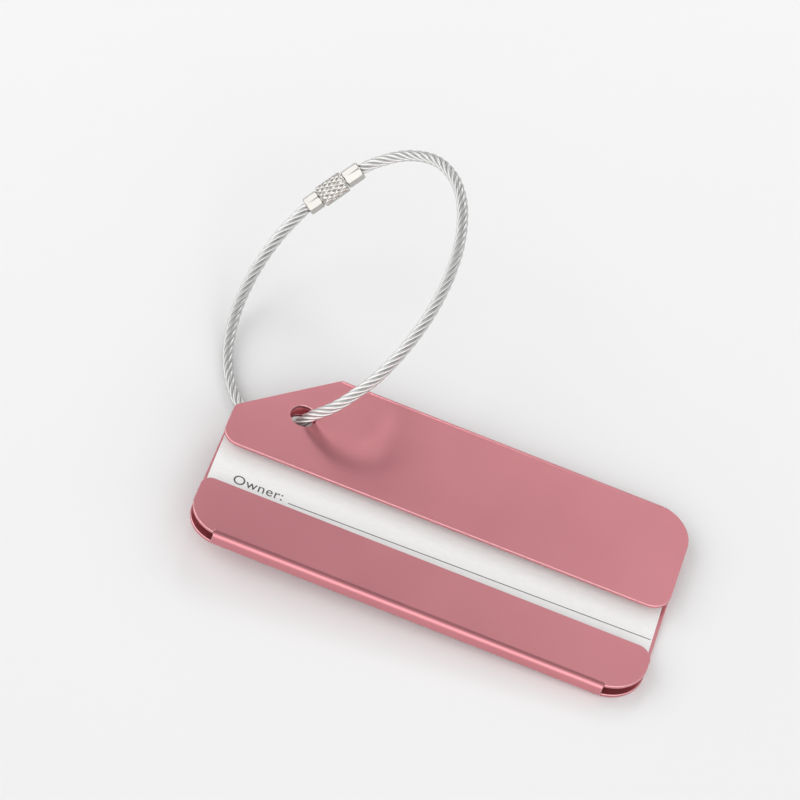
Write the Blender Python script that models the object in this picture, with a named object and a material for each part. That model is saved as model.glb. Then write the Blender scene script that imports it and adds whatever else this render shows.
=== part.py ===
"""Luggage tag: a name card in a folded sheet case, on a wire-rope loop with a screw clasp.

The case is cut as one flat blank and folded along two edges, so it is built that way:
the blank's outline is triangulated flat, and a folding function then places its two skins.
It lies as it would on a table, with its left end propped on the cable that passes under it.
Lengths are in millimetres and are scaled to metres where the meshes are made.
"""
import math

import bpy
import bmesh
from mathutils import Matrix, Vector
from mathutils.geometry import delaunay_2d_cdt

MM = 0.001

# ---- driving dimensions of the case -------------------------------------------------
CASE_LENGTH = 80.0
CASE_WIDTH = 42.5
CASE_THICKNESS = 3.0
SHEET = 0.6
BEND_RADIUS = 1.0           # outer radius of each of the four bends
RIGHT_CORNER = 6.9          # radius of the two right-hand corners
LEFT_CORNER = 5.9           # radius of the lower left corner
CORNER_INSET = 0.5          # the flat corners end this far inside the folds' outer faces
RELIEF = 0.06               # width of the slit that frees each end of a fold
FOLD_RIGHT_END = 74.05      # where both folds end along the case
BOTTOM_FOLD_START = 5.25
CHAMFER_FOOT_Y = 28.2       # where the cut corner leaves the left edge
CHAMFER_HEAD_X = 15.7       # where its line meets the line of the top edge
CHAMFER_SOFTENING = 0.5     # how far up the cut its softened foot reaches
LOWER_BAND_TOP = 11.35      # free edge of the narrow front band
UPPER_BAND_BOTTOM = 20.1    # free edge of the wide front band
LOWER_BAND_LEFT_RADIUS = 2.0
LOWER_BAND_RIGHT_RADIUS = 2.6
UPPER_BAND_LEFT_RADIUS = 3.0
UPPER_BAND_RIGHT_RADIUS = 3.6
HOLE_CENTRE = (11.4, 31.3)
HOLE_RADIUS = 2.25
TILT = math.radians(2.85)   # left end up, resting on the cable

# ---- the name card ------------------------------------------------------------------
CARD_LENGTH = 78.9
CARD_WIDTH = 39.4
CARD_THICKNESS = 0.35
CARD_LIFT = 0.8             # its underside above the case's underside
CARD_TURN = math.radians(1.0)
CARD_CENTRE = (39.8, 21.25)
CARD_CORNER_RADIUS = 10.0
CARD_NOTCH = (15.5, 12.9)   # length and height of the notch that clears the cable
CARD_NOTCH_RADIUS = 2.0

# ---- the cable and its screw clasp --------------------------------------------------
CABLE_DIAMETER = 2.0
CLASP_START = Vector((-41.67, 51.28, 11.79))
CLASP_AXIS = Vector((0.580, 0.615, 0.534)).normalized()
STUD_FERRULE_LENGTH = 2.8
BARREL_LENGTH = 5.1
SWIVEL_FERRULE_LENGTH = 3.3
CLASP_GAP = 0.1             # running clearance at each end of the barrel
FERRULE_FLATS = 3.15        # across the flats of both eight-sided ferrules
FERRULE_SIDES = 8
FERRULE_TURN = math.radians(18.1)   # how far their flats are turned about the clasp's axis
BARREL_RADIUS = 1.95
THREAD_RADIUS = 1.3
STUD_LENGTH = 3.0
BARREL_BORE_RADIUS = 1.4
NECK_RADIUS = 0.8
NECK_HOLE_RADIUS = 0.9
BARREL_END_WALL = 0.8
SWIVEL_HEAD_LENGTH = 0.7
SOCKET_RADIUS = 1.15        # the blind hole that the cable's end is crimped in
STUD_SOCKET_DEPTH = 2.0
SWIVEL_SOCKET_DEPTH = 2.4
CABLE_END_GAP = 0.2         # cable end to the bottom of its socket
EDGE_BREAK = 0.25           # chamfer on the clasp's turned edges
SMALL_BREAK = 0.1           # the finer one on the swivel's head and the ferrules' end faces

# The cable's route from the stud ferrule down the left of the loop, under the case,
# up through the hole and back over the right of the loop to the swivel ferrule.
CABLE_ROUTE = [
    (-42.6, 49.5, 10.8), (-44.2, 46.3, 8.9), (-45.4, 42.7, 7.1), (-46.3, 38.5, 5.3),
    (-46.7, 33.6, 3.55), (-46.5, 29.0, 2.35), (-45.8, 24.8, 1.5), (-44.6, 20.6, 1.1),
    (-42.8, 16.6, 1.02), (-40.5, 13.2, 1.02), (-37.6, 10.9, 1.02), (-35.3, 9.9, 1.02),
    (-33.4, 9.7, 1.03), (-31.9, 9.7, 1.28), (-30.55, 9.72, 2.04), (-29.5, 9.78, 3.2),
    (-28.5, 9.9, 4.95), (-27.65, 9.95, 6.45), (-26.75, 10.0, 7.65), (-25.7, 10.2, 8.65),
    (-24.5, 10.6, 9.7),
    (-23.1, 11.4, 11.0), (-21.3, 13.0, 12.75), (-18.9, 15.75, 15.05), (-16.6, 20.0, 17.7),
    (-15.0, 24.3, 19.95), (-13.9, 28.9, 22.0), (-13.35, 33.8, 23.8), (-13.4, 39.0, 25.3),
    (-14.2, 44.4, 26.45), (-16.1, 50.4, 27.1), (-19.0, 55.3, 26.8), (-23.0, 58.9, 25.5),
    (-28.0, 60.35, 22.9), (-32.2, 59.75, 20.05),
]
POINTS_PER_SPAN = 2

ROUND_SEGMENTS = 24
CORNER_SEGMENTS = 10
BEND_STEPS = 6

# ---- worked out from the above ------------------------------------------------------
BEND_MID = BEND_RADIUS - SHEET / 2
BEND_ARC = BEND_MID * math.pi / 2
WEB = CASE_THICKNESS - 2 * BEND_RADIUS
FOLD_LENGTH = 2 * BEND_ARC + WEB    # developed length of one fold
TOLERANCE = 0.01
CHAMFER_SLOPE = (CASE_WIDTH - CHAMFER_FOOT_Y) / CHAMFER_HEAD_X
CHAMFER_END_X = (CASE_WIDTH - CORNER_INSET - CHAMFER_FOOT_Y) / CHAMFER_SLOPE
BOTTOM_FOLD = (BOTTOM_FOLD_START, FOLD_RIGHT_END)
TOP_FOLD = (CHAMFER_END_X + RELIEF, FOLD_RIGHT_END)
CLASP_LENGTH = STUD_FERRULE_LENGTH + BARREL_LENGTH + SWIVEL_FERRULE_LENGTH + 2 * CLASP_GAP


def clear_scene():
    for obj in list(bpy.data.objects):
        bpy.data.objects.remove(obj, do_unlink=True)


def material(name, colour, roughness, metallic):
    """A plain Principled BSDF finish."""
    mat = bpy.data.materials.new(name)
    mat.use_nodes = True
    shader = mat.node_tree.nodes["Principled BSDF"]
    shader.inputs["Base Color"].default_value = (*colour, 1.0)
    shader.inputs["Roughness"].default_value = roughness
    shader.inputs["Metallic"].default_value = metallic
    mat.diffuse_color = (*colour, 1.0)
    return mat


def empty(name, matrix, parent=None):
    obj = bpy.data.objects.new(name, None)
    obj.empty_display_size = 5 * MM
    bpy.context.collection.objects.link(obj)
    obj.matrix_world = matrix
    if parent:
        attach(obj, parent)
    return obj


def attach(obj, parent):
    """Parent obj without moving it."""
    bpy.context.view_layer.update()
    world = obj.matrix_world.copy()
    obj.parent = parent
    obj.matrix_parent_inverse = parent.matrix_world.inverted()
    obj.matrix_world = world


def finish_object(name, mesh, mat, matrix, parent):
    """Scale the millimetre mesh to metres, shade it and place it."""
    mesh.transform(Matrix.Scale(MM, 4))
    mesh.shade_smooth()
    mesh.set_sharp_from_angle(angle=math.radians(35))
    mesh.materials.append(mat)
    obj = bpy.data.objects.new(name, mesh)
    bpy.context.collection.objects.link(obj)
    obj.matrix_world = matrix
    attach(obj, parent)
    return obj


# ---- the case -----------------------------------------------------------------------
def arc(centre, radius, start, end, steps=CORNER_SEGMENTS):
    """Points along an arc, angles in degrees."""
    points = []
    for i in range(steps + 1):
        angle = math.radians(start + (end - start) * i / steps)
        points.append((centre[0] + radius * math.cos(angle), centre[1] + radius * math.sin(angle)))
    return points


def right_corner(bottom):
    """One right-hand corner of the outline, from beside the fold's end to the right edge."""
    x = CASE_LENGTH - RIGHT_CORNER
    lean = math.asin((FOLD_RIGHT_END + RELIEF - x) / RIGHT_CORNER)
    reach = CORNER_INSET + RIGHT_CORNER * math.cos(lean)
    start = 90 - math.degrees(lean)
    if bottom:
        return arc((x, reach), RIGHT_CORNER, -start, 0)
    return arc((x, CASE_WIDTH - reach), RIGHT_CORNER, start, 0)


def left_bottom_corner():
    """The lower left corner, from beside the fold's start to the left edge."""
    lean = math.asin((LEFT_CORNER - BOTTOM_FOLD_START + RELIEF) / LEFT_CORNER)
    reach = CORNER_INSET + LEFT_CORNER * math.cos(lean)
    return arc((LEFT_CORNER, reach), LEFT_CORNER, -90 - math.degrees(lean), -180)


def chamfer():
    """The cut corner, from beside the fold's start to its softened foot on the left edge."""
    soft = CHAMFER_SOFTENING
    return [
        (CHAMFER_END_X, CASE_WIDTH - CORNER_INSET),
        (soft, CHAMFER_FOOT_Y + soft * CHAMFER_SLOPE),
        (soft / 5, CHAMFER_FOOT_Y - soft / 5),
        (0.0, CHAMFER_FOOT_Y - soft * 1.4),
    ]


def low_blank(points):
    """Where points of the folded lower band lie in the flat blank."""
    return [(x, 2 * BEND_RADIUS - FOLD_LENGTH - y) for x, y in points]


def top_blank(points):
    """Where points of the folded upper band lie in the flat blank."""
    return [(x, 2 * (CASE_WIDTH - BEND_RADIUS) + FOLD_LENGTH - y) for x, y in points]


def fold_end(x, tab_x, top):
    """A fold's end from the plate to the band, with the foot of the slit at each bend."""
    inner = CASE_WIDTH - BEND_RADIUS if top else BEND_RADIUS
    outer = inner + FOLD_LENGTH if top else inner - FOLD_LENGTH
    return [(tab_x, inner), (x, inner), (x, outer), (tab_x, outer)]


def blank_outline():
    """The blank's outline, anticlockwise from the right of the lower band's free edge."""
    low_left = LOWER_BAND_LEFT_RADIUS
    low_right = LOWER_BAND_RIGHT_RADIUS
    up_left = UPPER_BAND_LEFT_RADIUS
    up_right = UPPER_BAND_RIGHT_RADIUS
    right_tab = FOLD_RIGHT_END + RELIEF
    band = right_corner(bottom=True)
    band += arc((CASE_LENGTH - low_right, LOWER_BAND_TOP - low_right), low_right, 0, 90)
    outline = low_blank(band)[::-1]
    outline += reversed(fold_end(BOTTOM_FOLD[1], right_tab, top=False))
    outline += right_corner(bottom=True)
    outline += reversed(right_corner(bottom=False))
    outline += fold_end(TOP_FOLD[1], right_tab, top=True)
    band = right_corner(bottom=False)
    band += arc((CASE_LENGTH - up_right, UPPER_BAND_BOTTOM + up_right), up_right, 0, -90)
    outline += top_blank(band)
    band = arc((up_left, UPPER_BAND_BOTTOM + up_left), up_left, -90, -180)
    band += reversed(chamfer())
    outline += top_blank(band)
    outline += reversed(fold_end(TOP_FOLD[0], CHAMFER_END_X, top=True))
    outline += chamfer()
    outline += reversed(left_bottom_corner())
    outline += fold_end(BOTTOM_FOLD[0], BOTTOM_FOLD[0] - RELIEF, top=False)
    band = left_bottom_corner()
    band += arc((low_left, LOWER_BAND_TOP - low_left), low_left, 180, 90)
    outline += low_blank(band)
    return outline


def bend_lines(fold, top):
    """Lines across the blank where a fold needs an edge to bend at."""
    lines = []
    for start in (0.0, BEND_ARC + WEB):
        for i in range(BEND_STEPS + 1):
            along = start + BEND_ARC * i / BEND_STEPS
            v = CASE_WIDTH - BEND_RADIUS + along if top else BEND_RADIUS - along
            lines.append([(fold[0], v), (fold[1], v)])
    return lines


def flat_band(distance):
    """A front band's outward shift, height and inward normal at a distance past the plate."""
    return FOLD_LENGTH - distance, CASE_THICKNESS - SHEET / 2, 0.0, -1.0


def section(distance):
    """The same four numbers anywhere across a fold and its band."""
    if distance <= BEND_ARC:
        angle = distance / BEND_MID
        shift = BEND_MID * math.sin(angle)
        height = SHEET / 2 + BEND_MID * (1 - math.cos(angle))
        return shift, height, -math.sin(angle), math.cos(angle)
    if distance <= BEND_ARC + WEB:
        return BEND_MID, SHEET / 2 + BEND_MID + distance - BEND_ARC, -1.0, 0.0
    if distance <= FOLD_LENGTH:
        angle = (distance - BEND_ARC - WEB) / BEND_MID
        shift = BEND_MID * math.cos(angle)
        height = SHEET / 2 + BEND_MID + WEB + BEND_MID * math.sin(angle)
        return shift, height, -math.cos(angle), -math.sin(angle)
    return flat_band(distance)


def folded(x, v, skin):
    """Place a point of the blank in the folded case; skin is +1 inside and -1 outside.

    Beside a fold the plate and the band run on flat, over the slit, as far as they are cut.
    """
    top = v > CASE_WIDTH / 2
    edge = CASE_WIDTH - BEND_RADIUS if top else BEND_RADIUS
    turn = 1 if top else -1
    distance = (v - edge) * turn
    fold = TOP_FOLD if top else BOTTOM_FOLD
    beside = not fold[0] - TOLERANCE < x < fold[1] + TOLERANCE
    if distance <= 0 or (beside and distance < FOLD_LENGTH / 2):
        return Vector((x, v, SHEET / 2 + skin * SHEET / 2))
    shift, height, normal_y, normal_z = flat_band(distance) if beside else section(distance)
    reach = skin * SHEET / 2
    return Vector((x, edge + turn * (shift + normal_y * reach), height + normal_z * reach))


def hole_loop(blank_v):
    return arc((HOLE_CENTRE[0], blank_v), HOLE_RADIUS, 0, 360 - 360 / ROUND_SEGMENTS, ROUND_SEGMENTS - 1)


def triangulated_blank():
    """Vertices and triangles of the flat blank, without the two holes."""
    hole_vs = [HOLE_CENTRE[1], top_blank([HOLE_CENTRE])[0][1]]
    loops = [blank_outline()] + [hole_loop(v) for v in hole_vs]
    points = []
    edges = []
    for loop in loops:
        first = len(points)
        points += loop
        edges += [(first + i, first + (i + 1) % len(loop)) for i in range(len(loop))]
    for line in bend_lines(BOTTOM_FOLD, False) + bend_lines(TOP_FOLD, True):
        edges.append((len(points), len(points) + 1))
        points += line
    result = delaunay_2d_cdt([Vector(p) for p in points], edges, [], 1, 1e-5)
    verts = result[0]
    triangles = []
    for face in result[2]:
        centre = sum((verts[i] for i in face), Vector((0, 0))) / len(face)
        if all((centre - Vector((HOLE_CENTRE[0], v))).length > HOLE_RADIUS for v in hole_vs):
            triangles.append(face)
    return verts, triangles


def build_case(mat, parent):
    """Fold the two skins of the blank and close them along every free edge."""
    verts, triangles = triangulated_blank()
    bm = bmesh.new()
    inside = [bm.verts.new(folded(v.x, v.y, 1)) for v in verts]
    outside = [bm.verts.new(folded(v.x, v.y, -1)) for v in verts]
    uses = {}
    for tri in triangles:
        a, b, c = (verts[i] for i in tri)
        if (b - a).cross(c - a) < 0:
            tri = tri[::-1]
        bm.faces.new([inside[i] for i in tri])
        bm.faces.new([outside[i] for i in reversed(tri)])
        for i, j in zip(tri, tri[1:] + tri[:1]):
            uses[(i, j)] = True
    for i, j in uses:
        if (j, i) not in uses:
            bm.faces.new([outside[i], outside[j], inside[j], inside[i]])
    loose = [v for v in bm.verts if not v.link_faces]
    bmesh.ops.delete(bm, geom=loose, context="VERTS")
    bmesh.ops.recalc_face_normals(bm, faces=bm.faces)
    mesh = bpy.data.meshes.new("case")
    bm.to_mesh(mesh)
    bm.free()
    return finish_object("case", mesh, mat, parent.matrix_world, parent)


# ---- the name card ------------------------------------------------------------------
def card_outline():
    """The card about its own centre, anticlockwise from its lower left corner."""
    half_x = CARD_LENGTH / 2
    half_y = CARD_WIDTH / 2
    inner_x = half_x - CARD_CORNER_RADIUS
    inner_y = half_y - CARD_CORNER_RADIUS
    notch_x = CARD_NOTCH[0] - half_x
    notch_y = half_y - CARD_NOTCH[1]
    soft = CARD_NOTCH_RADIUS
    outline = arc((-inner_x, -inner_y), CARD_CORNER_RADIUS, 180, 270)
    outline += arc((inner_x, -inner_y), CARD_CORNER_RADIUS, 270, 360)
    outline += arc((inner_x, inner_y), CARD_CORNER_RADIUS, 0, 90)
    outline.append((notch_x, half_y))
    outline += arc((notch_x - soft, notch_y + soft), soft, 0, -90)
    outline.append((-half_x, notch_y))
    return outline


def build_card(mat, parent):
    bm = bmesh.new()
    turn = Matrix.Rotation(CARD_TURN, 2)
    centre = Vector(CARD_CENTRE)
    base = []
    for point in card_outline():
        flat = turn @ Vector(point) + centre
        base.append(bm.verts.new((flat.x, flat.y, CARD_LIFT)))
    face = bm.faces.new(base)
    raised = bmesh.ops.extrude_face_region(bm, geom=[face])
    top = [v for v in raised["geom"] if isinstance(v, bmesh.types.BMVert)]
    bmesh.ops.translate(bm, verts=top, vec=(0, 0, CARD_THICKNESS))
    bmesh.ops.recalc_face_normals(bm, faces=bm.faces)
    mesh = bpy.data.meshes.new("name_card")
    bm.to_mesh(mesh)
    bm.free()
    return finish_object("name_card", mesh, mat, parent.matrix_world, parent)


# ---- the clasp ----------------------------------------------------------------------
def ring(z, radius, flats=False):
    """One ring of a turned shape, or of an eight-sided one whose radius is to its flats."""
    facet = 2 * math.pi / FERRULE_SIDES
    points = []
    for i in range(ROUND_SEGMENTS):
        angle = 2 * math.pi * i / ROUND_SEGMENTS
        reach = radius
        if flats:
            reach = radius / math.cos(angle % facet - facet / 2)
        angle += FERRULE_TURN
        points.append(Vector((reach * math.cos(angle), reach * math.sin(angle), z)))
    return points


def turned_mesh(name, rings, closed):
    """Skin a list of rings; closed joins the last to the first, else both ends are capped."""
    bm = bmesh.new()
    rows = [[bm.verts.new(p) for p in points] for points in rings]
    pairs = list(zip(rows, rows[1:]))
    if closed:
        pairs.append((rows[-1], rows[0]))
    for low, high in pairs:
        for i in range(ROUND_SEGMENTS):
            j = (i + 1) % ROUND_SEGMENTS
            bm.faces.new([low[i], low[j], high[j], high[i]])
    if not closed:
        bm.faces.new(reversed(rows[0]))
        bm.faces.new(rows[-1])
    bmesh.ops.recalc_face_normals(bm, faces=bm.faces)
    mesh = bpy.data.meshes.new(name)
    bm.to_mesh(mesh)
    bm.free()
    return mesh


def ferrule_body(start, end):
    """Rings of an eight-sided ferrule with both of its ends turned down."""
    across = FERRULE_FLATS / 2
    return [
        ring(start, across - SMALL_BREAK),
        ring(start + EDGE_BREAK, across, flats=True),
        ring(end - EDGE_BREAK, across, flats=True),
        ring(end, across - SMALL_BREAK),
    ]


def build_stud_ferrule(mat, matrix, parent):
    """Crimped on the cable's first end; its threaded stud reaches into the barrel."""
    end = STUD_FERRULE_LENGTH
    tip = end + CLASP_GAP + STUD_LENGTH
    rings = [ring(STUD_SOCKET_DEPTH, SOCKET_RADIUS), ring(0, SOCKET_RADIUS)]
    rings += ferrule_body(0, end)
    rings += [
        ring(end, THREAD_RADIUS),
        ring(tip - EDGE_BREAK, THREAD_RADIUS),
        ring(tip, THREAD_RADIUS - EDGE_BREAK),
    ]
    mesh = turned_mesh("stud_ferrule", rings, closed=False)
    return finish_object("stud_ferrule", mesh, mat, matrix, parent)


def build_barrel(mat, matrix, parent):
    """The knurled nut: it turns on the swivel's head and screws over the stud."""
    length = BARREL_LENGTH
    outer = BARREL_RADIUS
    wall = length - BARREL_END_WALL
    rings = [
        ring(0, BARREL_BORE_RADIUS),
        ring(0, outer - EDGE_BREAK),
        ring(EDGE_BREAK, outer),
        ring(length - EDGE_BREAK, outer),
        ring(length, outer - EDGE_BREAK),
        ring(length, NECK_HOLE_RADIUS),
        ring(wall, NECK_HOLE_RADIUS),
        ring(wall, BARREL_BORE_RADIUS),
    ]
    mesh = turned_mesh("knurled_barrel", rings, closed=True)
    return finish_object("knurled_barrel", mesh, mat, matrix, parent)


def build_swivel_ferrule(mat, matrix, parent):
    """Crimped on the cable's second end; its neck and head hold the barrel captive."""
    head_end = -CLASP_GAP - BARREL_END_WALL - CLASP_GAP
    head_start = head_end - SWIVEL_HEAD_LENGTH
    end = SWIVEL_FERRULE_LENGTH
    rings = [
        ring(head_start, THREAD_RADIUS - SMALL_BREAK),
        ring(head_start + SMALL_BREAK, THREAD_RADIUS),
        ring(head_end, THREAD_RADIUS),
        ring(head_end, NECK_RADIUS),
        ring(0, NECK_RADIUS),
    ]
    rings += ferrule_body(0, end)
    rings += [ring(end, SOCKET_RADIUS), ring(end - SWIVEL_SOCKET_DEPTH, SOCKET_RADIUS)]
    mesh = turned_mesh("swivel_ferrule", rings, closed=False)
    return finish_object("swivel_ferrule", mesh, mat, matrix, parent)


# ---- the cable ----------------------------------------------------------------------
def route_points():
    """The route's own points, with the straight run into each ferrule's socket."""
    clasp_end = CLASP_START + CLASP_AXIS * CLASP_LENGTH
    first = CLASP_START + CLASP_AXIS * (STUD_SOCKET_DEPTH - CABLE_END_GAP)
    last = clasp_end - CLASP_AXIS * (SWIVEL_SOCKET_DEPTH - CABLE_END_GAP)
    return [first, CLASP_START] + [Vector(p) for p in CABLE_ROUTE] + [clasp_end, last]


def smooth_route(points, steps):
    """Points read from a centripetal Catmull-Rom curve through the route's points."""
    padded = [2 * points[0] - points[1]] + points + [2 * points[-1] - points[-2]]
    curve = []
    for p0, p1, p2, p3 in zip(padded, padded[1:], padded[2:], padded[3:]):
        t1 = (p1 - p0).length ** 0.5
        t2 = t1 + (p2 - p1).length ** 0.5
        t3 = t2 + (p3 - p2).length ** 0.5
        for i in range(steps):
            t = t1 + (t2 - t1) * i / steps
            a1 = p0.lerp(p1, t / t1)
            a2 = p1.lerp(p2, (t - t1) / (t2 - t1))
            a3 = p2.lerp(p3, (t - t2) / (t3 - t2))
            b1 = a1.lerp(a2, t / t2)
            b2 = a2.lerp(a3, (t - t1) / (t3 - t1))
            curve.append(b1.lerp(b2, (t - t1) / (t2 - t1)))
    curve.append(points[-1])
    return curve


def build_cable(mat, parent):
    points = smooth_route(route_points(), POINTS_PER_SPAN)
    curve = bpy.data.curves.new("cable", "CURVE")
    curve.dimensions = "3D"
    curve.bevel_depth = CABLE_DIAMETER / 2 * MM
    curve.bevel_resolution = 2
    curve.render_resolution_u = 0
    curve.use_fill_caps = True
    spline = curve.splines.new("POLY")
    spline.points.add(len(points) - 1)
    for target, point in zip(spline.points, points):
        target.co = (*(point * MM), 1.0)
    curve.materials.append(mat)
    obj = bpy.data.objects.new("cable", curve)
    bpy.context.collection.objects.link(obj)
    attach(obj, parent)
    return obj


# ---- assembly -----------------------------------------------------------------------
def case_matrix():
    """The case's frame: left end up, its box centred on the origin and standing on z = 0."""
    reach = CASE_LENGTH * math.cos(TILT) + CASE_THICKNESS * math.sin(TILT)
    corner = Vector((-reach / 2, -CASE_WIDTH / 2, CASE_LENGTH * math.sin(TILT)))
    return Matrix.Translation(corner * MM) @ Matrix.Rotation(TILT, 4, "Y")


def clasp_matrix(along):
    """A frame on the clasp's axis, its Z along that axis."""
    turn = CLASP_AXIS.to_track_quat("Z", "Y").to_matrix().to_4x4()
    return Matrix.Translation((CLASP_START + CLASP_AXIS * along) * MM) @ turn


def main():
    clear_scene()
    rose = material("anodised_rose", (0.56, 0.23, 0.26), 0.38, 0.9)
    paper = material("white_card", (0.86, 0.86, 0.85), 0.8, 0.0)
    steel = material("steel_rope", (0.62, 0.61, 0.60), 0.35, 1.0)
    nickel = material("bright_nickel", (0.80, 0.77, 0.73), 0.18, 1.0)

    tag = empty("tag_frame", case_matrix())
    build_case(rose, tag)
    slide = empty("card_slide", tag.matrix_world, tag)
    build_card(paper, slide)

    hole = Matrix.Translation(Vector((*HOLE_CENTRE, CASE_THICKNESS / 2)) * MM)
    swing = empty("loop_swing", tag.matrix_world @ hole, tag)
    build_cable(steel, swing)
    barrel_at = STUD_FERRULE_LENGTH + CLASP_GAP
    swivel_at = barrel_at + BARREL_LENGTH + CLASP_GAP
    build_stud_ferrule(nickel, clasp_matrix(0), swing)
    build_swivel_ferrule(nickel, clasp_matrix(swivel_at), swing)
    spin = empty("barrel_spin", clasp_matrix(barrel_at), swing)
    build_barrel(nickel, clasp_matrix(barrel_at), spin)


main()
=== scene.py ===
"""The looks of the luggage tag: anodised folded case, card, wire rope and nickel clasp.

Shapes are worked out in millimetres, in the case's own frame or on the clasp's axis, and are
placed in the row frame in metres. The floor, lights and camera come last.
"""
import math

import bmesh
import bpy
from mathutils import Matrix, Vector
from mathutils.geometry import delaunay_2d_cdt

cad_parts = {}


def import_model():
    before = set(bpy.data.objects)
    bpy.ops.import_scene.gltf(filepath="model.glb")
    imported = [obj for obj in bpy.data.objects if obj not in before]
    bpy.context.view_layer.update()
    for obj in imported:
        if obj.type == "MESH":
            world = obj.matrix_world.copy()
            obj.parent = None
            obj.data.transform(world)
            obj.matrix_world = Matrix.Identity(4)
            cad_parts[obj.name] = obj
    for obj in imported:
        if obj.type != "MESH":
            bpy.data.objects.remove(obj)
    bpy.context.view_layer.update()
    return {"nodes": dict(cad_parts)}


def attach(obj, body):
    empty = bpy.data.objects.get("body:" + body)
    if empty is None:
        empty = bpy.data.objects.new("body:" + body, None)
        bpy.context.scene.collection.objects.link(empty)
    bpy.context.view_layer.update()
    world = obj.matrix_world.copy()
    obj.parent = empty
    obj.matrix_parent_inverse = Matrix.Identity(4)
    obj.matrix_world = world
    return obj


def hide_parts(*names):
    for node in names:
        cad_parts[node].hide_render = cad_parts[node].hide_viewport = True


MM = 0.001

# ---- the case, as in the CAD --------------------------------------------------------
CASE_LENGTH = 80.0
CASE_WIDTH = 42.5
CASE_THICKNESS = 3.0
SHEET = 0.6
BEND_RADIUS = 1.0
RIGHT_CORNER = 6.9
LEFT_CORNER = 5.9
CORNER_INSET = 0.5
RELIEF = 0.06
FOLD_RIGHT_END = 74.05
BOTTOM_FOLD_START = 5.25
CHAMFER_FOOT_Y = 28.2
CHAMFER_HEAD_X = 15.7
CHAMFER_SOFTENING = 0.5     # how far in from the left edge the cut corner's foot is softened
CHAMFER_MIDDLE = 0.1        # how far in, and below the foot, the softening's middle point is
CHAMFER_FOOT_DROP = 0.7     # how far below the foot the softening ends
LOWER_BAND_TOP = 11.35
UPPER_BAND_BOTTOM = 20.1
LOWER_BAND_LEFT_RADIUS = 2.0
LOWER_BAND_RIGHT_RADIUS = 2.6
UPPER_BAND_LEFT_RADIUS = 3.0
UPPER_BAND_RIGHT_RADIUS = 3.6
HOLE_CENTRE = (11.4, 31.3)
HOLE_RADIUS = 2.25
TILT = math.radians(2.85)
EDGE_BREAK = 0.08           # the cut edges' small chamfer, coloured brighter than the faces as a painted highlight
SKIN_HOLD = 0.2             # strip beside each bend that keeps the flats' shading flat

BEND_MID = BEND_RADIUS - SHEET / 2
BEND_ARC = BEND_MID * math.pi / 2
WEB = CASE_THICKNESS - 2 * BEND_RADIUS
FOLD_LENGTH = 2 * BEND_ARC + WEB
CHAMFER_SLOPE = (CASE_WIDTH - CHAMFER_FOOT_Y) / CHAMFER_HEAD_X
CHAMFER_END_X = (CASE_WIDTH - CORNER_INSET - CHAMFER_FOOT_Y) / CHAMFER_SLOPE
BOTTOM_FOLD = (BOTTOM_FOLD_START, FOLD_RIGHT_END)
TOP_FOLD = (CHAMFER_END_X + RELIEF, FOLD_RIGHT_END)
TOLERANCE = 0.01
BEND_STEPS = 10
CORNER_SEGMENTS = 28
HOLE_SEGMENTS = 72
MERGE_DISTANCE = 1e-5       # blank points closer than this are one
SHARPEST_TURN = 0.5         # keeps the edge break from spiking at sharp corners

# ---- the card -----------------------------------------------------------------------
CARD_TOP = 1.15             # its upper face above the case's underside
CARD_TURN = math.radians(1.0)
LINE_START = (14.6, 13.62)
LINE_END = (79.1, 14.78)
LINE_WIDTH = 0.16
LABEL_START = (4.55, 13.45)
LABEL_SIZE = 2.75
LABEL_SPACING = 1.06
LABEL_CURVE_STEPS = 6
INK_HEIGHT = 0.012

# ---- the clasp and the cable, as in the CAD -----------------------------------------
CABLE_DIAMETER = 2.0
CLASP_START = Vector((-41.67, 51.28, 11.79))
CLASP_AXIS = Vector((0.580, 0.615, 0.534)).normalized()
STUD_FERRULE_LENGTH = 2.8
BARREL_LENGTH = 5.1
SWIVEL_FERRULE_LENGTH = 3.3
CLASP_GAP = 0.1
FERRULE_FLATS = 3.15
FERRULE_SIDES = 8
FERRULE_TURN = math.radians(18.1)
BARREL_RADIUS = 1.95
THREAD_RADIUS = 1.3
STUD_LENGTH = 3.0
BARREL_BORE_RADIUS = 1.4
NECK_RADIUS = 0.8
NECK_HOLE_RADIUS = 0.9
BARREL_END_WALL = 0.8
SWIVEL_HEAD_LENGTH = 0.7
SWIVEL_HEAD_CHAMFER = 0.1
STUD_TIP_CHAMFER = 0.25
SOCKET_RADIUS = 1.15
STUD_SOCKET_DEPTH = 2.0
SWIVEL_SOCKET_DEPTH = 2.4
CABLE_END_GAP = 0.2
CLASP_LENGTH = STUD_FERRULE_LENGTH + BARREL_LENGTH + SWIVEL_FERRULE_LENGTH + 2 * CLASP_GAP

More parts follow.
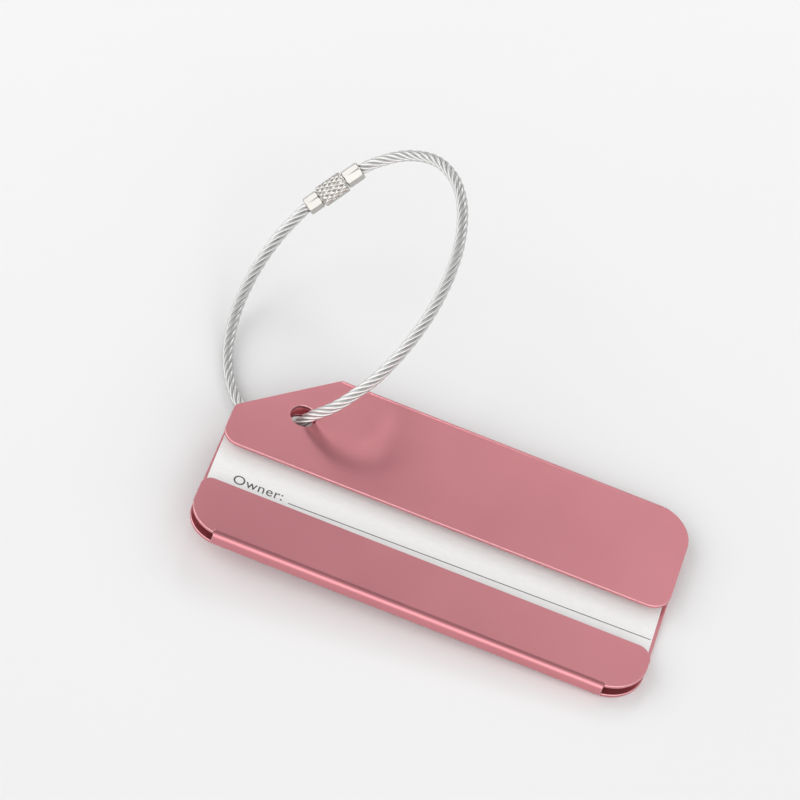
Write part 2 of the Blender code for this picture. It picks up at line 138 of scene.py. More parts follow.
CABLE_ROUTE = [
    (-42.6, 49.5, 10.8), (-44.2, 46.3, 8.9), (-45.4, 42.7, 7.1), (-46.3, 38.5, 5.3),
    (-46.7, 33.6, 3.55), (-46.5, 29.0, 2.35), (-45.8, 24.8, 1.5), (-44.6, 20.6, 1.1),
    (-42.8, 16.6, 1.02), (-40.5, 13.2, 1.02), (-37.6, 10.9, 1.02), (-35.3, 9.9, 1.02),
    (-33.4, 9.7, 1.03), (-31.9, 9.7, 1.28), (-30.55, 9.72, 2.04), (-29.5, 9.78, 3.2),
    (-28.5, 9.9, 4.95), (-27.65, 9.95, 6.45), (-26.75, 10.0, 7.65), (-25.7, 10.2, 8.65),
    (-24.5, 10.6, 9.7),
    (-23.1, 11.4, 11.0), (-21.3, 13.0, 12.75), (-18.9, 15.75, 15.05), (-16.6, 20.0, 17.7),
    (-15.0, 24.3, 19.95), (-13.9, 28.9, 22.0), (-13.35, 33.8, 23.8), (-13.4, 39.0, 25.3),
    (-14.2, 44.4, 26.45), (-16.1, 50.4, 27.1), (-19.0, 55.3, 26.8), (-23.0, 58.9, 25.5),
    (-28.0, 60.35, 22.9), (-32.2, 59.75, 20.05),
]

# ---- how the rope and the knurl are made --------------------------------------------
STRANDS = 6
WIRES_SHOWN = 6             # outer wires of one strand
STRAND_RADIUS = 0.335
LAY_LENGTH = 10.0           # one turn of a strand round the rope, right-handed
WIRE_LAY_LENGTH = 4.5       # one turn of a wire round its strand, left-handed
WIRE_RELIEF = 0.035
STRAND_SIDES = 18
ROPE_STEP = 0.32            # spacing of the rope's rings along its length
ROUTE_STEPS = 8             # points on the smooth route between two of the CAD's points
PATH_STRIDE = 3             # every third ring is a point of the line returned with the rope
KNURL_STARTS = 13
KNURL_TURN = 0.62           # how steeply the grooves cross the barrel
KNURL_DEPTH = 0.14
KNURL_GROOVE_SHARE = 0.55   # how much of the pitch a groove takes
KNURL_MARGIN = 0.12         # plain length at each end of the barrel
KNURL_FADE = 0.2            # length over which the grooves reach full depth
BARREL_ROUNDING = 0.25      # chamfer at each end of the barrel
KNURL_SIDES = 240
KNURL_RINGS = 84
TURNED_SIDES = 96
FERRULE_BREAK = 0.25        # length of the lathe chamfer on each ferrule's ends
FERRULE_END_CUT = 0.12      # how far inside the flats the chamfer's small end is
FERRULE_BREAK_STEPS = 8
SHARP_PLAIN = 30.0          # edges above these angles, in degrees, are shaded sharp
SHARP_ROPE = 50.0
SHARP_TURNED = 28.0

# ---- the camera ---------------------------------------------------------------------
CAMERA_PLACE = (22.9, -491.9, 574.7)
CAMERA_ELEVATION = math.radians(47.87)
CAMERA_AZIMUTH = math.radians(4.16)
CAMERA_ROLL = math.radians(16.41)
CAMERA_LENS = 202.5
CAMERA_SENSOR = 36.0
CAMERA_REACH = 20.0         # clip end, in metres

# ---- the floor and the light --------------------------------------------------------
FLOOR_REACH = 3000.0        # from its centre to each side
FLOOR_HEIGHT = -0.02        # a hair below the tag
WORLD_STRENGTH = 1.08
CEILING = 0.36              # brightness straight overhead, as a share of the walls
WALL_STOPS = [(0.0, 1.0), (0.60, 1.0), (0.68, 0.85), (0.79, CEILING)]
CAMERA_SIDE = 1.80          # brightness behind the camera
FAR_SIDE = 0.44             # brightness beyond the tag
DEPTH_NEAR = -0.6           # Y of the direction where the change between them starts
DEPTH_FAR = 0.5             # and where it ends
# name, place and side in millimetres, power in watts
SOFTBOXES = [
    ("right_softbox", (560, 950, 880), 800, 2.4),
    ("left_softbox", (-850, 200, 700), 900, 2.5),
    ("back_softbox", (-190, 1230, 840), 330, 2.3),
]


# ---- small helpers ------------------------------------------------------------------
def mesh_object(name, verts, faces, materials, sharp=SHARP_PLAIN, face_slots=None):
    """A smooth-shaded mesh object made from millimetre vertices."""
    mesh = bpy.data.meshes.new(name)
    mesh.from_pydata([Vector(v) * MM for v in verts], [], faces)
    for mat in materials:
        mesh.materials.append(mat)
    if face_slots:
        mesh.polygons.foreach_set("material_index", face_slots)
    bm = bmesh.new()
    bm.from_mesh(mesh)
    bmesh.ops.delete(bm, geom=[v for v in bm.verts if not v.link_faces], context="VERTS")
    bmesh.ops.recalc_face_normals(bm, faces=bm.faces)
    bm.to_mesh(mesh)
    bm.free()
    mesh.shade_smooth()
    mesh.set_sharp_from_angle(angle=math.radians(sharp))
    obj = bpy.data.objects.new(name, mesh)
    bpy.context.scene.collection.objects.link(obj)
    return obj


def case_matrix():
    """From the case's own frame to the row frame, in millimetres."""
    reach = CASE_LENGTH * math.cos(TILT) + CASE_THICKNESS * math.sin(TILT)
    corner = Vector((-reach / 2, -CASE_WIDTH / 2, CASE_LENGTH * math.sin(TILT)))
    return Matrix.Translation(corner) @ Matrix.Rotation(TILT, 4, "Y")


def clasp_matrix(along):
    """From a frame whose Z is the clasp's axis to the row frame, in millimetres."""
    turn = CLASP_AXIS.to_track_quat("Z", "Y").to_matrix().to_4x4()
    return Matrix.Translation(CLASP_START + CLASP_AXIS * along) @ turn


def fill_ramp(ramp, stops):
    """Set a colour ramp's stops, each a position and a red, green and blue."""
    while len(ramp.elements) < len(stops):
        ramp.elements.new(0.5)
    for element, (position, colour) in zip(ramp.elements, stops):
        element.position = position
        element.color = (*colour, 1.0)


class Nodes:
    """A short way to write a material's node tree."""

    def __init__(self, name):
        self.mat = bpy.data.materials.new(name)
        self.mat.use_nodes = True
        self.tree = self.mat.node_tree
        self.shader = self.tree.nodes["Principled BSDF"]

    def node(self, kind, **inputs):
        made = self.tree.nodes.new(kind)
        for key, value in inputs.items():
            made.inputs[key.replace("_", " ")].default_value = value
        return made

    def link(self, a, b):
        self.tree.links.new(a, b)

    def noise(self, scale, detail, stretch=(1, 1, 1)):
        """Object-space noise, with its own stretch along each axis."""
        place = self.node("ShaderNodeTexCoord")
        mapping = self.node("ShaderNodeMapping", Scale=stretch)
        made = self.node("ShaderNodeTexNoise", Scale=scale, Detail=detail)
        self.link(place.outputs["Object"], mapping.inputs["Vector"])
        self.link(mapping.outputs["Vector"], made.inputs["Vector"])
        return made.outputs["Fac"]

    def ramp(self, factor, stops):
        made = self.node("ShaderNodeValToRGB")
        fill_ramp(made.color_ramp, stops)
        self.link(factor, made.inputs["Fac"])
        return made.outputs["Color"]

    def spread(self, factor, low, high):
        """Map a 0..1 factor to low..high."""
        made = self.node("ShaderNodeMapRange", To_Min=low, To_Max=high)
        self.link(factor, made.inputs["Value"])
        return made.outputs["Result"]

    def bump(self, height, strength, distance):
        made = self.node("ShaderNodeBump", Strength=strength, Distance=distance)
        self.link(height, made.inputs["Height"])
        self.link(made.outputs["Normal"], self.shader.inputs["Normal"])

    def set(self, **values):
        for key, value in values.items():
            self.shader.inputs[key.replace("_", " ")].default_value = value


# ---- materials ----------------------------------------------------------------------
def anodised_material():
    """Satin dusty-rose anodising over a fine bead-blasted grain."""
    m = Nodes("anodised_rose")
    m.set(Metallic=0.92)
    cloud = m.noise(scale=45, detail=4)
    rose = m.ramp(cloud, [(0.3, (0.63, 0.245, 0.275)), (0.7, (0.67, 0.265, 0.295))])
    m.link(rose, m.shader.inputs["Base Color"])
    m.link(m.spread(m.noise(scale=160, detail=4), 0.28, 0.34), m.shader.inputs["Roughness"])
    m.bump(m.noise(scale=5200, detail=2), strength=0.12, distance=0.00002)
    return m.mat


def cut_edge_highlight_material():
    """The sheet's cut and deburred edge: the same dye, painted brighter as a highlight, and
    smoother.
    """
    m = Nodes("cut_edge_highlight")
    m.set(Metallic=0.9)
    fine = m.noise(scale=900, detail=3)
    # painted highlight: a lighter rose than the faces, so that the edge chamfers read as lit lines
    bright = m.ramp(fine, [(0.25, (0.70, 0.36, 0.38)), (0.75, (0.80, 0.45, 0.47))])
    m.link(bright, m.shader.inputs["Base Color"])
    m.link(m.spread(fine, 0.22, 0.34), m.shader.inputs["Roughness"])
    m.bump(fine, strength=0.1, distance=0.00002)
    return m.mat


def card_material():
    """Smooth uncoated card with a faint fibre grain."""
    m = Nodes("white_card")
    m.set(Specular_IOR_Level=0.3)
    fibre = m.noise(scale=700, detail=5, stretch=(1, 2.2, 1))
    white = m.ramp(fibre, [(0.3, (0.86, 0.86, 0.85)), (0.7, (0.90, 0.90, 0.89))])
    m.link(white, m.shader.inputs["Base Color"])
    m.link(m.spread(fibre, 0.66, 0.8), m.shader.inputs["Roughness"])
    m.bump(fibre, strength=0.15, distance=0.00004)
    return m.mat


def ink_material():
    """Dark grey printing ink, slightly uneven."""
    m = Nodes("print_ink")
    fleck = m.noise(scale=2500, detail=4)
    grey = m.ramp(fleck, [(0.3, (0.055, 0.058, 0.062)), (0.7, (0.10, 0.105, 0.11))])
    m.link(grey, m.shader.inputs["Base Color"])
    m.link(m.spread(fleck, 0.5, 0.7), m.shader.inputs["Roughness"])
    return m.mat


def rope_material():
    """Drawn stainless wire, with painted shade darkening the hollows between the strands."""
    m = Nodes("wire_rope")
    m.set(Metallic=0.85)
    streak = m.noise(scale=600, detail=4)
    hollow_shade_mask = m.node("ShaderNodeNewGeometry").outputs["Pointiness"]
    # painted shade: the base colour goes dark where the surface is hollow, between strands and
    # between wires
    steel_with_painted_shade = m.ramp(hollow_shade_mask, [(0.42, (0.26, 0.26, 0.26)), (0.53, (0.62, 0.62, 0.61))])
    m.link(steel_with_painted_shade, m.shader.inputs["Base Color"])
    m.link(m.spread(streak, 0.26, 0.4), m.shader.inputs["Roughness"])
    m.bump(streak, strength=0.1, distance=0.00003)
    return m.mat


def nickel_material():
    """Bright nickel plate, warm, with faint polishing variation."""
    m = Nodes("bright_nickel")
    m.set(Metallic=1.0)
    haze = m.noise(scale=420, detail=4)
    tone = m.ramp(haze, [(0.3, (0.49, 0.475, 0.45)), (0.7, (0.54, 0.525, 0.50))])
    m.link(tone, m.shader.inputs["Base Color"])
    m.link(m.spread(haze, 0.16, 0.24), m.shader.inputs["Roughness"])
    m.bump(haze, strength=0.06, distance=0.00003)
    return m.mat


def floor_material():
    """Smooth matt white paper sweep."""
    m = Nodes("paper_floor")
    m.set(Roughness=0.85, Specular_IOR_Level=0.15)
    cloud = m.noise(scale=9, detail=2)
    white = m.ramp(cloud, [(0.3, (0.86, 0.86, 0.86)), (0.7, (0.87, 0.87, 0.87))])
    m.link(white, m.shader.inputs["Base Color"])
    return m.mat


# ---- the case -----------------------------------------------------------------------
def arc(centre, radius, start, end, steps=CORNER_SEGMENTS):
    """Points along an arc, angles in degrees."""
    points = []
    for i in range(steps + 1):
        angle = math.radians(start + (end - start) * i / steps)
        x = centre[0] + radius * math.cos(angle)
        y = centre[1] + radius * math.sin(angle)
        points.append((x, y))
    return points


def right_corner(bottom):
    """A round right corner, from the slit at the fold's end to the right edge."""
    x = CASE_LENGTH - RIGHT_CORNER
    lean = math.asin((FOLD_RIGHT_END + RELIEF - x) / RIGHT_CORNER)
    reach = CORNER_INSET + RIGHT_CORNER * math.cos(lean)
    start = 90 - math.degrees(lean)
    if bottom:
        return arc((x, reach), RIGHT_CORNER, -start, 0)
    return arc((x, CASE_WIDTH - reach), RIGHT_CORNER, start, 0)


def left_bottom_corner():
    """The round left corner, from the slit at the fold's end to the left edge."""
    lean = math.asin((LEFT_CORNER - BOTTOM_FOLD_START + RELIEF) / LEFT_CORNER)
    reach = CORNER_INSET + LEFT_CORNER * math.cos(lean)
    return arc((LEFT_CORNER, reach), LEFT_CORNER, -90 - math.degrees(lean), -180)


def chamfer():
    """The cut corner, softened where it meets the left edge."""
    return [
        (CHAMFER_END_X, CASE_WIDTH - CORNER_INSET),
        (CHAMFER_SOFTENING, CHAMFER_FOOT_Y + CHAMFER_SOFTENING * CHAMFER_SLOPE),
        (CHAMFER_MIDDLE, CHAMFER_FOOT_Y - CHAMFER_MIDDLE),
        (0.0, CHAMFER_FOOT_Y - CHAMFER_FOOT_DROP),
    ]


def low_blank(points):
    """Where points of the folded lower band lie in the flat blank."""
    return [(x, 2 * BEND_RADIUS - FOLD_LENGTH - y) for x, y in points]


def top_blank(points):
    """Where points of the folded upper band lie in the flat blank."""
    return [(x, 2 * (CASE_WIDTH - BEND_RADIUS) + FOLD_LENGTH - y) for x, y in points]


def fold_end(x, tab_x, top):
    """A fold's end from the plate to the band, with the foot of the slit at each bend."""
    inner = CASE_WIDTH - BEND_RADIUS if top else BEND_RADIUS
    outer = inner + FOLD_LENGTH if top else inner - FOLD_LENGTH
    return [(tab_x, inner), (x, inner), (x, outer), (tab_x, outer)]


def blank_outline():
    """The blank's outline, anticlockwise from the right of the lower band's free edge."""
    low_left = LOWER_BAND_LEFT_RADIUS
    low_right = LOWER_BAND_RIGHT_RADIUS
    up_left = UPPER_BAND_LEFT_RADIUS
    up_right = UPPER_BAND_RIGHT_RADIUS
    right_tab = FOLD_RIGHT_END + RELIEF
    band = right_corner(bottom=True)
    band += arc((CASE_LENGTH - low_right, LOWER_BAND_TOP - low_right), low_right, 0, 90)
    outline = low_blank(band)[::-1]
    outline += reversed(fold_end(BOTTOM_FOLD[1], right_tab, top=False))
    outline += right_corner(bottom=True)
    outline += reversed(right_corner(bottom=False))
    outline += fold_end(TOP_FOLD[1], right_tab, top=True)
    band = right_corner(bottom=False)
    band += arc((CASE_LENGTH - up_right, UPPER_BAND_BOTTOM + up_right), up_right, 0, -90)
    outline += top_blank(band)
    band = arc((up_left, UPPER_BAND_BOTTOM + up_left), up_left, -90, -180)
    band += reversed(chamfer())
    outline += top_blank(band)
    outline += reversed(fold_end(TOP_FOLD[0], CHAMFER_END_X, top=True))
    outline += chamfer()
    outline += reversed(left_bottom_corner())
    outline += fold_end(BOTTOM_FOLD[0], BOTTOM_FOLD[0] - RELIEF, top=False)
    band = left_bottom_corner()
    band += arc((low_left, LOWER_BAND_TOP - low_left), low_left, 180, 90)
    outline += low_blank(band)
    return outline


def bend_lines(fold, top):
    """Lines across the blank where it bends, and one beside each bend on the flat."""
    alongs = [-SKIN_HOLD, FOLD_LENGTH + SKIN_HOLD]
    for start in (0.0, BEND_ARC + WEB):
        alongs += [start + BEND_ARC * i / BEND_STEPS for i in range(BEND_STEPS + 1)]
    lines = []
    for along in alongs:
        v = CASE_WIDTH - BEND_RADIUS + along if top else BEND_RADIUS - along
        lines.append([(fold[0], v), (fold[1], v)])
    return lines


def flat_band(distance):
    """A front band's outward shift, height and inward normal at a distance past the plate."""
    return FOLD_LENGTH - distance, CASE_THICKNESS - SHEET / 2, 0.0, -1.0


def section(distance):
    """The same four numbers anywhere across a fold and the band beyond it."""
    if distance <= BEND_ARC:
        angle = distance / BEND_MID
        shift = BEND_MID * math.sin(angle)
        height = SHEET / 2 + BEND_MID * (1 - math.cos(angle))
        return shift, height, -math.sin(angle), math.cos(angle)
    if distance <= BEND_ARC + WEB:
        return BEND_MID, SHEET / 2 + BEND_MID + distance - BEND_ARC, -1.0, 0.0
    if distance <= FOLD_LENGTH:
        angle = (distance - BEND_ARC - WEB) / BEND_MID
        shift = BEND_MID * math.cos(angle)
        height = SHEET / 2 + BEND_MID + WEB + BEND_MID * math.sin(angle)
        return shift, height, -math.cos(angle), -math.sin(angle)
    return flat_band(distance)


def folded(x, v, skin):
    """Place a point of the blank in the folded case; skin is from -1 outside to +1 inside.

    Beside a fold the plate and the band run on flat, over the slit, as far as they are cut.
    """
    top = v > CASE_WIDTH / 2
    edge = CASE_WIDTH - BEND_RADIUS if top else BEND_RADIUS
    turn = 1 if top else -1
    distance = (v - edge) * turn
    fold = TOP_FOLD if top else BOTTOM_FOLD
    beside = not fold[0] - TOLERANCE < x < fold[1] + TOLERANCE
    if distance <= 0 or (beside and distance < FOLD_LENGTH / 2):
        return Vector((x, v, SHEET / 2 + skin * SHEET / 2))
    shift, height, normal_y, normal_z = flat_band(distance) if beside else section(distance)
    reach = skin * SHEET / 2
    return Vector((x, edge + turn * (shift + normal_y * reach), height + normal_z * reach))


def hole_loop(blank_v):
    """One of the two holes in the blank."""
    last = 360 - 360 / HOLE_SEGMENTS
    return arc((HOLE_CENTRE[0], blank_v), HOLE_RADIUS, 0, last, HOLE_SEGMENTS - 1)


def triangulated_blank():
    """Vertices and anticlockwise triangles of the flat blank, without its two holes."""
    hole_vs = [HOLE_CENTRE[1], top_blank([HOLE_CENTRE])[0][1]]
    points = []
    edges = []
    for loop in [blank_outline()] + [hole_loop(v) for v in hole_vs]:
        first = len(points)
        points += loop
        edges += [(first + i, first + (i + 1) % len(loop)) for i in range(len(loop))]
    for line in bend_lines(BOTTOM_FOLD, False) + bend_lines(TOP_FOLD, True):
        edges.append((len(points), len(points) + 1))
        points += line
    result = delaunay_2d_cdt([Vector(p) for p in points], edges, [], 1, MERGE_DISTANCE)
    verts = result[0]
    triangles = []
    for face in result[2]:
        a, b, c = (verts[i] for i in face)
        centre = (a + b + c) / 3
        if all((centre - Vector((HOLE_CENTRE[0], v))).length > HOLE_RADIUS for v in hole_vs):
            triangles.append(face if (b - a).cross(c - a) > 0 else face[::-1])
    return verts, triangles


def pulled_in(before, here, after, distance):
    """A boundary point moved into the sheet, square to both of its edges."""
    first = (here - before).normalized()
    second = (after - here).normalized()
    left = Vector((-first.y - second.y, first.x + second.x))
    return here + left * distance / max(1 + first.dot(second), SHARPEST_TURN)


def build_case(face_mat, edge_highlight_mat):
    """The folded sheet, with a small chamfer along every cut edge, coloured with a painted
    highlight.
    """
    flat, triangles = triangulated_blank()
    directed = {pair for t in triangles for pair in zip(t, t[1:] + t[:1])}
    rim = [pair for pair in directed if pair[::-1] not in directed]
    after = dict(rim)
    before = {b: a for a, b in rim}
    skin_at = list(flat)
    for i in after:
        skin_at[i] = pulled_in(flat[before[i]], flat[i], flat[after[i]], EDGE_BREAK)
    edge_skin = 1 - 2 * EDGE_BREAK / SHEET
    count = len(flat)
    verts = [folded(p.x, p.y, 1) for p in skin_at]
    verts += [folded(p.x, p.y, -1) for p in skin_at]
    verts += [folded(p.x, p.y, edge_skin) for p in flat]
    verts += [folded(p.x, p.y, -edge_skin) for p in flat]
    faces = []
    for tri in triangles:
        faces.append(tuple(tri))
        faces.append(tuple(i + count for i in reversed(tri)))
    # the two chamfer faces of each edge take slot 1, the painted highlight; the square wall between
    # them keeps the face colour
    slots = [0] * len(faces)
    for i, j in sorted(rim):
        bands = [(0, 2 * count, 1), (2 * count, 3 * count, 0), (3 * count, count, 1)]
        for upper, lower, slot in bands:
            faces.append((i + lower, j + lower, j + upper, i + upper))
            slots.append(slot)
    place = case_matrix()
    return mesh_object("case_shell", [place @ v for v in verts], faces, [face_mat, edge_highlight_mat],
                       face_slots=slots)


# ---- the print on the card ----------------------------------------------------------
def build_writing_line(mat):
    """The printed writing line, as a thin film of ink."""
    start = Vector((*LINE_START, CARD_TOP))
    end = Vector((*LINE_END, CARD_TOP))
    across = (end - start).cross(Vector((0, 0, 1))).normalized() * LINE_WIDTH / 2
    up = Vector((0, 0, INK_HEIGHT))
    base = [start - across, start + across, end + across, end - across]
    place = case_matrix()
    verts = [place @ v for v in base] + [place @ (v + up) for v in base]
    faces = [(3, 2, 1, 0), (4, 5, 6, 7)]
    faces += [(i, (i + 1) % 4, (i + 1) % 4 + 4, i + 4) for i in range(4)]
    return mesh_object("writing_line", verts, faces, [mat])


def build_field_label(mat):
    """A plain generic field label in front of the writing line."""
    text = bpy.data.curves.new("field_label", "FONT")
    text.body = "Owner:"
    text.size = LABEL_SIZE
    text.extrude = INK_HEIGHT / 2
    text.resolution_u = LABEL_CURVE_STEPS
    text.space_character = LABEL_SPACING
    made = bpy.data.objects.new("field_label_curve", text)
    bpy.context.scene.collection.objects.link(made)
    bpy.context.view_layer.update()
    mesh = bpy.data.meshes.new_from_object(made)
    bpy.data.objects.remove(made)
    turn = Matrix.Rotation(CARD_TURN, 4, "Z")
    local = Matrix.Translation((*LABEL_START, CARD_TOP + INK_HEIGHT / 2)) @ turn
    mesh.transform(Matrix.Scale(MM, 4) @ case_matrix() @ local)
    mesh.materials.clear()
    mesh.materials.append(mat)
    obj = bpy.data.objects.new("field_label", mesh)
    bpy.context.scene.collection.objects.link(obj)
    return obj


# ---- the cable ----------------------------------------------------------------------
def route_points():
    """The cable's points from inside one ferrule round to inside the other."""
    clasp_end = CLASP_START + CLASP_AXIS * CLASP_LENGTH
    first = CLASP_START + CLASP_AXIS * (STUD_SOCKET_DEPTH - CABLE_END_GAP)
    last = clasp_end - CLASP_AXIS * (SWIVEL_SOCKET_DEPTH - CABLE_END_GAP)
    return [first, CLASP_START] + [Vector(p) for p in CABLE_ROUTE] + [clasp_end, last]


def smooth_route(points, steps):
    """Points read from a centripetal Catmull-Rom curve through the route's points."""
    padded = [2 * points[0] - points[1]] + points + [2 * points[-1] - points[-2]]
    curve = []
    for p0, p1, p2, p3 in zip(padded, padded[1:], padded[2:], padded[3:]):
        t1 = (p1 - p0).length ** 0.5
        t2 = t1 + (p2 - p1).length ** 0.5
        t3 = t2 + (p3 - p2).length ** 0.5
        for i in range(steps):
            t = t1 + (t2 - t1) * i / steps
            a1 = p0.lerp(p1, t / t1)
            a2 = p1.lerp(p2, (t - t1) / (t2 - t1))
            a3 = p2.lerp(p3, (t - t2) / (t3 - t2))
            b1 = a1.lerp(a2, t / t2)
            b2 = a2.lerp(a3, (t - t1) / (t3 - t1))
            curve.append(b1.lerp(b2, (t - t1) / (t2 - t1)))
    curve.append(points[-1])
    return curve


def evenly_spaced(points, spacing):
    """The same line, cut at even steps."""
    lengths = [0.0]
    for a, b in zip(points, points[1:]):
        lengths.append(lengths[-1] + (b - a).length)
    count = round(lengths[-1] / spacing)
    even = []
    k = 0
    for i in range(count + 1):
        want = lengths[-1] * i / count
        while k < len(points) - 2 and lengths[k + 1] < want:
            k += 1
        share = (want - lengths[k]) / (lengths[k + 1] - lengths[k])
        even.append(points[k].lerp(points[k + 1], share))
    return even, lengths[-1]


def carried_frames(points):
    """A frame at each point that is carried along the line without twisting."""
    tangents = []
    for i in range(len(points)):
        ahead = points[min(i + 1, len(points) - 1)]
        behind = points[max(i - 1, 0)]
        tangents.append((ahead - behind).normalized())
    side = tangents[0].orthogonal().normalized()
    frames = []
    for tangent in tangents:
        side = (side - tangent * side.dot(tangent)).normalized()
        frames.append((side, tangent.cross(side), tangent))
    return frames


def strand_rings(points, frames, spacing, strand):
    """Rings of one strand, each lobed by its own twisted wires."""
    helix = CABLE_DIAMETER / 2 - STRAND_RADIUS
    centres = []
    for i, (point, (side, up, _)) in enumerate(zip(points, frames)):
        angle = 2 * math.pi * (strand / STRANDS + i * spacing / LAY_LENGTH)
        centres.append(point + helix * (math.cos(angle) * side + math.sin(angle) * up))
    rings = []
    for i, (centre, (side, up, _)) in enumerate(zip(centres, carried_frames(centres))):
        twist = -2 * math.pi * i * spacing / WIRE_LAY_LENGTH
        ring = []
        for k in range(STRAND_SIDES):
            angle = 2 * math.pi * k / STRAND_SIDES
            lobe = abs(math.cos(WIRES_SHOWN * (angle - twist) / 2))
            radius = STRAND_RADIUS - WIRE_RELIEF * (1 - lobe)
            ring.append(centre + radius * (math.cos(angle) * side + math.sin(angle) * up))
        rings.append(ring)
    return rings


def skin_rings(rings, first, closed=False):
    """Faces between rings, capped at both ends unless the last ring joins the first."""
    sides = len(rings[0])
    faces = []
    pairs = list(zip(range(len(rings)), range(1, len(rings))))
    if closed:
        pairs.append((len(rings) - 1, 0))
    for a, b in pairs:
        for k in range(sides):
            n = (k + 1) % sides
            faces.append((first + a * sides + k, first + a * sides + n,
                          first + b * sides + n, first + b * sides + k))
    if not closed:
        faces.append(tuple(first + k for k in reversed(range(sides))))
        faces.append(tuple(first + (len(rings) - 1) * sides + k for k in range(sides)))
    return faces


def build_rope(mat):
    """Six strands of wires laid right-handed round a core, and the line they follow."""
    points, length = evenly_spaced(smooth_route(route_points(), ROUTE_STEPS), ROPE_STEP)
    frames = carried_frames(points)
    verts = []
    faces = []
    for strand in range(STRANDS):
        rings = strand_rings(points, frames, ROPE_STEP, strand)
        faces += skin_rings(rings, len(verts))
        verts += [v for ring in rings for v in ring]
    rope = mesh_object("wire_rope", verts, faces, [mat], SHARP_ROPE)
    return rope, [p * MM for p in points[::PATH_STRIDE] + [points[-1]]], length * MM


# ---- the clasp ----------------------------------------------------------------------
def round_ring(z, radius, sides=TURNED_SIDES):
    ring = []
    for i in range(sides):
        angle = 2 * math.pi * i / sides
        ring.append(Vector((radius * math.cos(angle), radius * math.sin(angle), z)))
    return ring


def ferrule_ring(z, limit):
    """A ring of an eight-sided bar whose corners are turned down to the limit radius."""
    facet = 2 * math.pi / FERRULE_SIDES
    ring = []
    for i in range(TURNED_SIDES):
        angle = 2 * math.pi * i / TURNED_SIDES
        radius = min(FERRULE_FLATS / 2 / math.cos(angle % facet - facet / 2), limit)
        angle += FERRULE_TURN
        ring.append(Vector((radius * math.cos(angle), radius * math.sin(angle), z)))
    return ring


def ferrule_body(start, end):
    """Rings of an eight-sided body whose ends are chamfered on the lathe."""
    smallest = FERRULE_FLATS / 2 - FERRULE_END_CUT
    largest = FERRULE_FLATS / 2 / math.cos(math.pi / FERRULE_SIDES)
    steps = FERRULE_BREAK_STEPS
    cone = [(FERRULE_BREAK * i / steps, smallest + (largest - smallest) * i / steps)
            for i in range(steps + 1)]
    rings = [ferrule_ring(start + depth, limit) for depth, limit in cone]
    rings += [ferrule_ring(end - depth, limit) for depth, limit in reversed(cone)]
    return rings


def turned_object(name, rings, closed, along, mat):
    verts = [v for ring in rings for v in ring]
    faces = skin_rings(rings, 0, closed)
    place = clasp_matrix(along)
    return mesh_object(name, [place @ v for v in verts], faces, [mat], SHARP_TURNED)


def build_stud_ferrule(mat):
    end = STUD_FERRULE_LENGTH
    tip = end + CLASP_GAP + STUD_LENGTH
    rings = [round_ring(STUD_SOCKET_DEPTH, SOCKET_RADIUS), round_ring(0, SOCKET_RADIUS)]
    rings += ferrule_body(0, end)
    rings += [
        round_ring(end, THREAD_RADIUS),
        round_ring(tip - STUD_TIP_CHAMFER, THREAD_RADIUS),
        round_ring(tip, THREAD_RADIUS - STUD_TIP_CHAMFER),
    ]
    return turned_object("stud_ferrule_visual", rings, False, 0, mat)


def knurl_radius(angle, z):
    """The barrel's surface under two crossing sets of V grooves, fading out at its ends."""
    depth = 0.0
    for hand in (1, -1):
        lead = hand * KNURL_TURN * z / (2 * math.pi * BARREL_RADIUS)
        phase = KNURL_STARTS * (angle / (2 * math.pi) + lead)
        off_groove = abs(phase - round(phase)) * 2
        depth = max(depth, 1 - off_groove / KNURL_GROOVE_SHARE)
    from_end = min(z, BARREL_LENGTH - z)
    fade = min(max((from_end - KNURL_MARGIN) / KNURL_FADE, 0.0), 1.0)
    rounding = max(0.0, BARREL_ROUNDING - from_end)
    return BARREL_RADIUS - rounding - KNURL_DEPTH * depth * fade


def build_barrel(mat):
    length = BARREL_LENGTH
    wall = length - BARREL_END_WALL
    rings = [round_ring(0, BARREL_BORE_RADIUS, KNURL_SIDES)]
    for i in range(KNURL_RINGS + 1):
        z = length * i / KNURL_RINGS
        ring = []
        for k in range(KNURL_SIDES):
            angle = 2 * math.pi * k / KNURL_SIDES
            radius = knurl_radius(angle, z)
            ring.append(Vector((radius * math.cos(angle), radius * math.sin(angle), z)))
        rings.append(ring)
    rings += [
        round_ring(length, NECK_HOLE_RADIUS, KNURL_SIDES),
        round_ring(wall, NECK_HOLE_RADIUS, KNURL_SIDES),
        round_ring(wall, BARREL_BORE_RADIUS, KNURL_SIDES),
    ]
    return turned_object("knurled_barrel_visual", rings, True, STUD_FERRULE_LENGTH + CLASP_GAP, mat)


def build_swivel_ferrule(mat):
    head_end = -CLASP_GAP - BARREL_END_WALL - CLASP_GAP
    head_start = head_end - SWIVEL_HEAD_LENGTH
    end = SWIVEL_FERRULE_LENGTH
    rings = [
        round_ring(head_start, THREAD_RADIUS - SWIVEL_HEAD_CHAMFER),
        round_ring(head_start + SWIVEL_HEAD_CHAMFER, THREAD_RADIUS),
        round_ring(head_end, THREAD_RADIUS),
        round_ring(head_end, NECK_RADIUS),
        round_ring(0, NECK_RADIUS),
    ]
    rings += ferrule_body(0, end)
    rings += [round_ring(end, SOCKET_RADIUS), round_ring(end - SWIVEL_SOCKET_DEPTH, SOCKET_RADIUS)]
    along = STUD_FERRULE_LENGTH + BARREL_LENGTH + 2 * CLASP_GAP
    return turned_object("swivel_ferrule_visual", rings, False, along, mat)


# ---- floor, lights and camera -------------------------------------------------------
def build_floor(mat):
    """A wide flat floor that the tag lies on."""
    corners = [(-1, -1), (1, -1), (1, 1), (-1, 1)]
    verts = [(x * FLOOR_REACH, y * FLOOR_REACH, FLOOR_HEIGHT) for x, y in corners]
    floor = mesh_object("floor", verts, [(0, 1, 2, 3)], [mat])


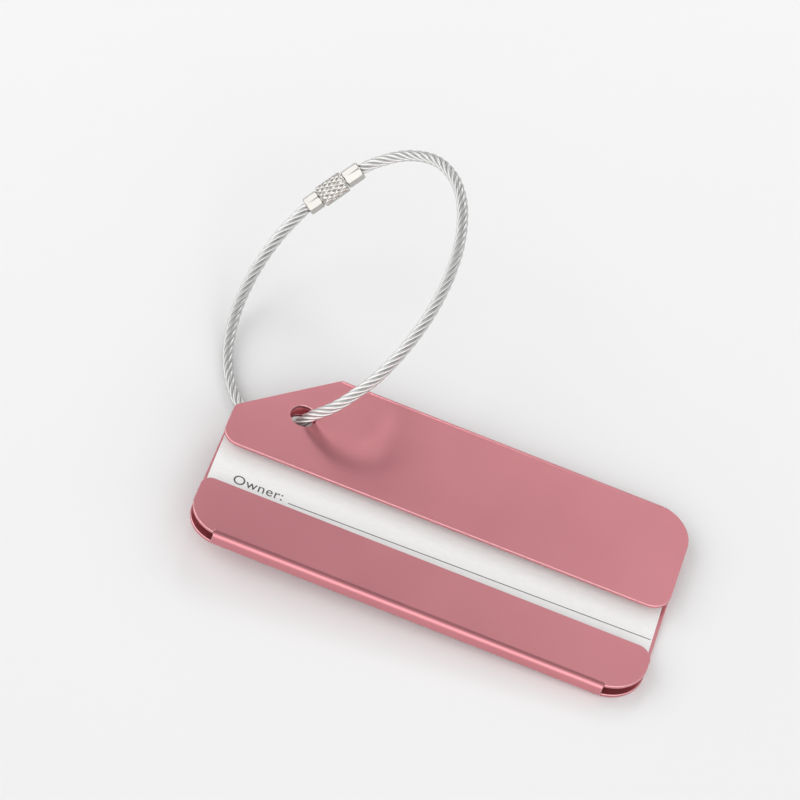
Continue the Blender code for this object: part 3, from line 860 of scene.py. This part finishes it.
def build_softbox(name, place, side, power):
    """A square softbox aimed at the tag."""
    data = bpy.data.lights.new(name, "AREA")
    data.shape = "SQUARE"
    data.size = side * MM
    data.energy = power
    light = bpy.data.objects.new(name, data)
    light.location = Vector(place) * MM
    light.rotation_euler = (-Vector(place)).to_track_quat("-Z", "Y").to_euler()
    bpy.context.scene.collection.objects.link(light)


def build_world():
    """A studio that is bright behind the camera, dimmer beyond the tag and dark overhead."""
    world = bpy.data.worlds.new("studio")
    world.use_nodes = True
    tree = world.node_tree
    place = tree.nodes.new("ShaderNodeTexCoord")
    split = tree.nodes.new("ShaderNodeSeparateXYZ")
    tree.links.new(place.outputs["Generated"], split.inputs["Vector"])
    height = tree.nodes.new("ShaderNodeValToRGB")
    depth = tree.nodes.new("ShaderNodeMapRange")
    mix = tree.nodes.new("ShaderNodeMix")
    mix.data_type = "RGBA"
    mix.blend_type = "MULTIPLY"
    mix.inputs["Factor"].default_value = 1.0
    fill_ramp(height.color_ramp, [(at, (level, level, level)) for at, level in WALL_STOPS])
    depth.inputs["From Min"].default_value = DEPTH_NEAR
    depth.inputs["From Max"].default_value = DEPTH_FAR
    depth.inputs["To Min"].default_value = CAMERA_SIDE
    depth.inputs["To Max"].default_value = FAR_SIDE
    tree.links.new(split.outputs["Z"], height.inputs["Fac"])
    tree.links.new(split.outputs["Y"], depth.inputs["Value"])
    tree.links.new(height.outputs["Color"], mix.inputs["A"])
    tree.links.new(depth.outputs["Result"], mix.inputs["B"])
    tree.links.new(mix.outputs["Result"], tree.nodes["Background"].inputs["Color"])
    tree.nodes["Background"].inputs["Strength"].default_value = WORLD_STRENGTH
    bpy.context.scene.world = world


def build_lights():
    for name, place, side, power in SOFTBOXES:
        build_softbox(name, place, side, power)
    build_world()


def build_camera():
    data = bpy.data.cameras.new("camera")
    data.lens = CAMERA_LENS
    data.sensor_width = CAMERA_SENSOR
    data.clip_end = CAMERA_REACH
    camera = bpy.data.objects.new("camera", data)
    turn = Matrix.Rotation(CAMERA_AZIMUTH, 4, "Z")
    tip = Matrix.Rotation(math.pi / 2 - CAMERA_ELEVATION, 4, "X")
    roll = Matrix.Rotation(CAMERA_ROLL, 4, "Z")
    camera.matrix_world = Matrix.Translation(Vector(CAMERA_PLACE) * MM) @ (turn @ tip) @ roll
    bpy.context.scene.collection.objects.link(camera)
    bpy.context.scene.camera = camera


def main():
    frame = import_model()
    build_camera()

    rope, line, length = build_rope(rope_material())
    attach(rope, "loop")
    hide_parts("cable")

    nickel = nickel_material()
    stud = build_stud_ferrule(nickel)
    swivel = build_swivel_ferrule(nickel)
    barrel = build_barrel(nickel)
    clasp = [(stud, "loop", "stud_ferrule"), (swivel, "loop", "swivel_ferrule"),
             (barrel, "barrel", "knurled_barrel")]
    for piece, body, node in clasp:
        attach(piece, body)
        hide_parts(node)

    case = build_case(anodised_material(), cut_edge_highlight_material())
    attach(case, "case")
    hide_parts("case")

    card = frame["nodes"]["name_card"]
    card.data.materials.clear()
    card.data.materials.append(card_material())
    ink = ink_material()
    for piece in (build_writing_line(ink), build_field_label(ink)):
        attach(piece, "card")

    build_floor(floor_material())
    build_lights()
    bpy.context.scene.view_settings.view_transform = "Standard"


main()
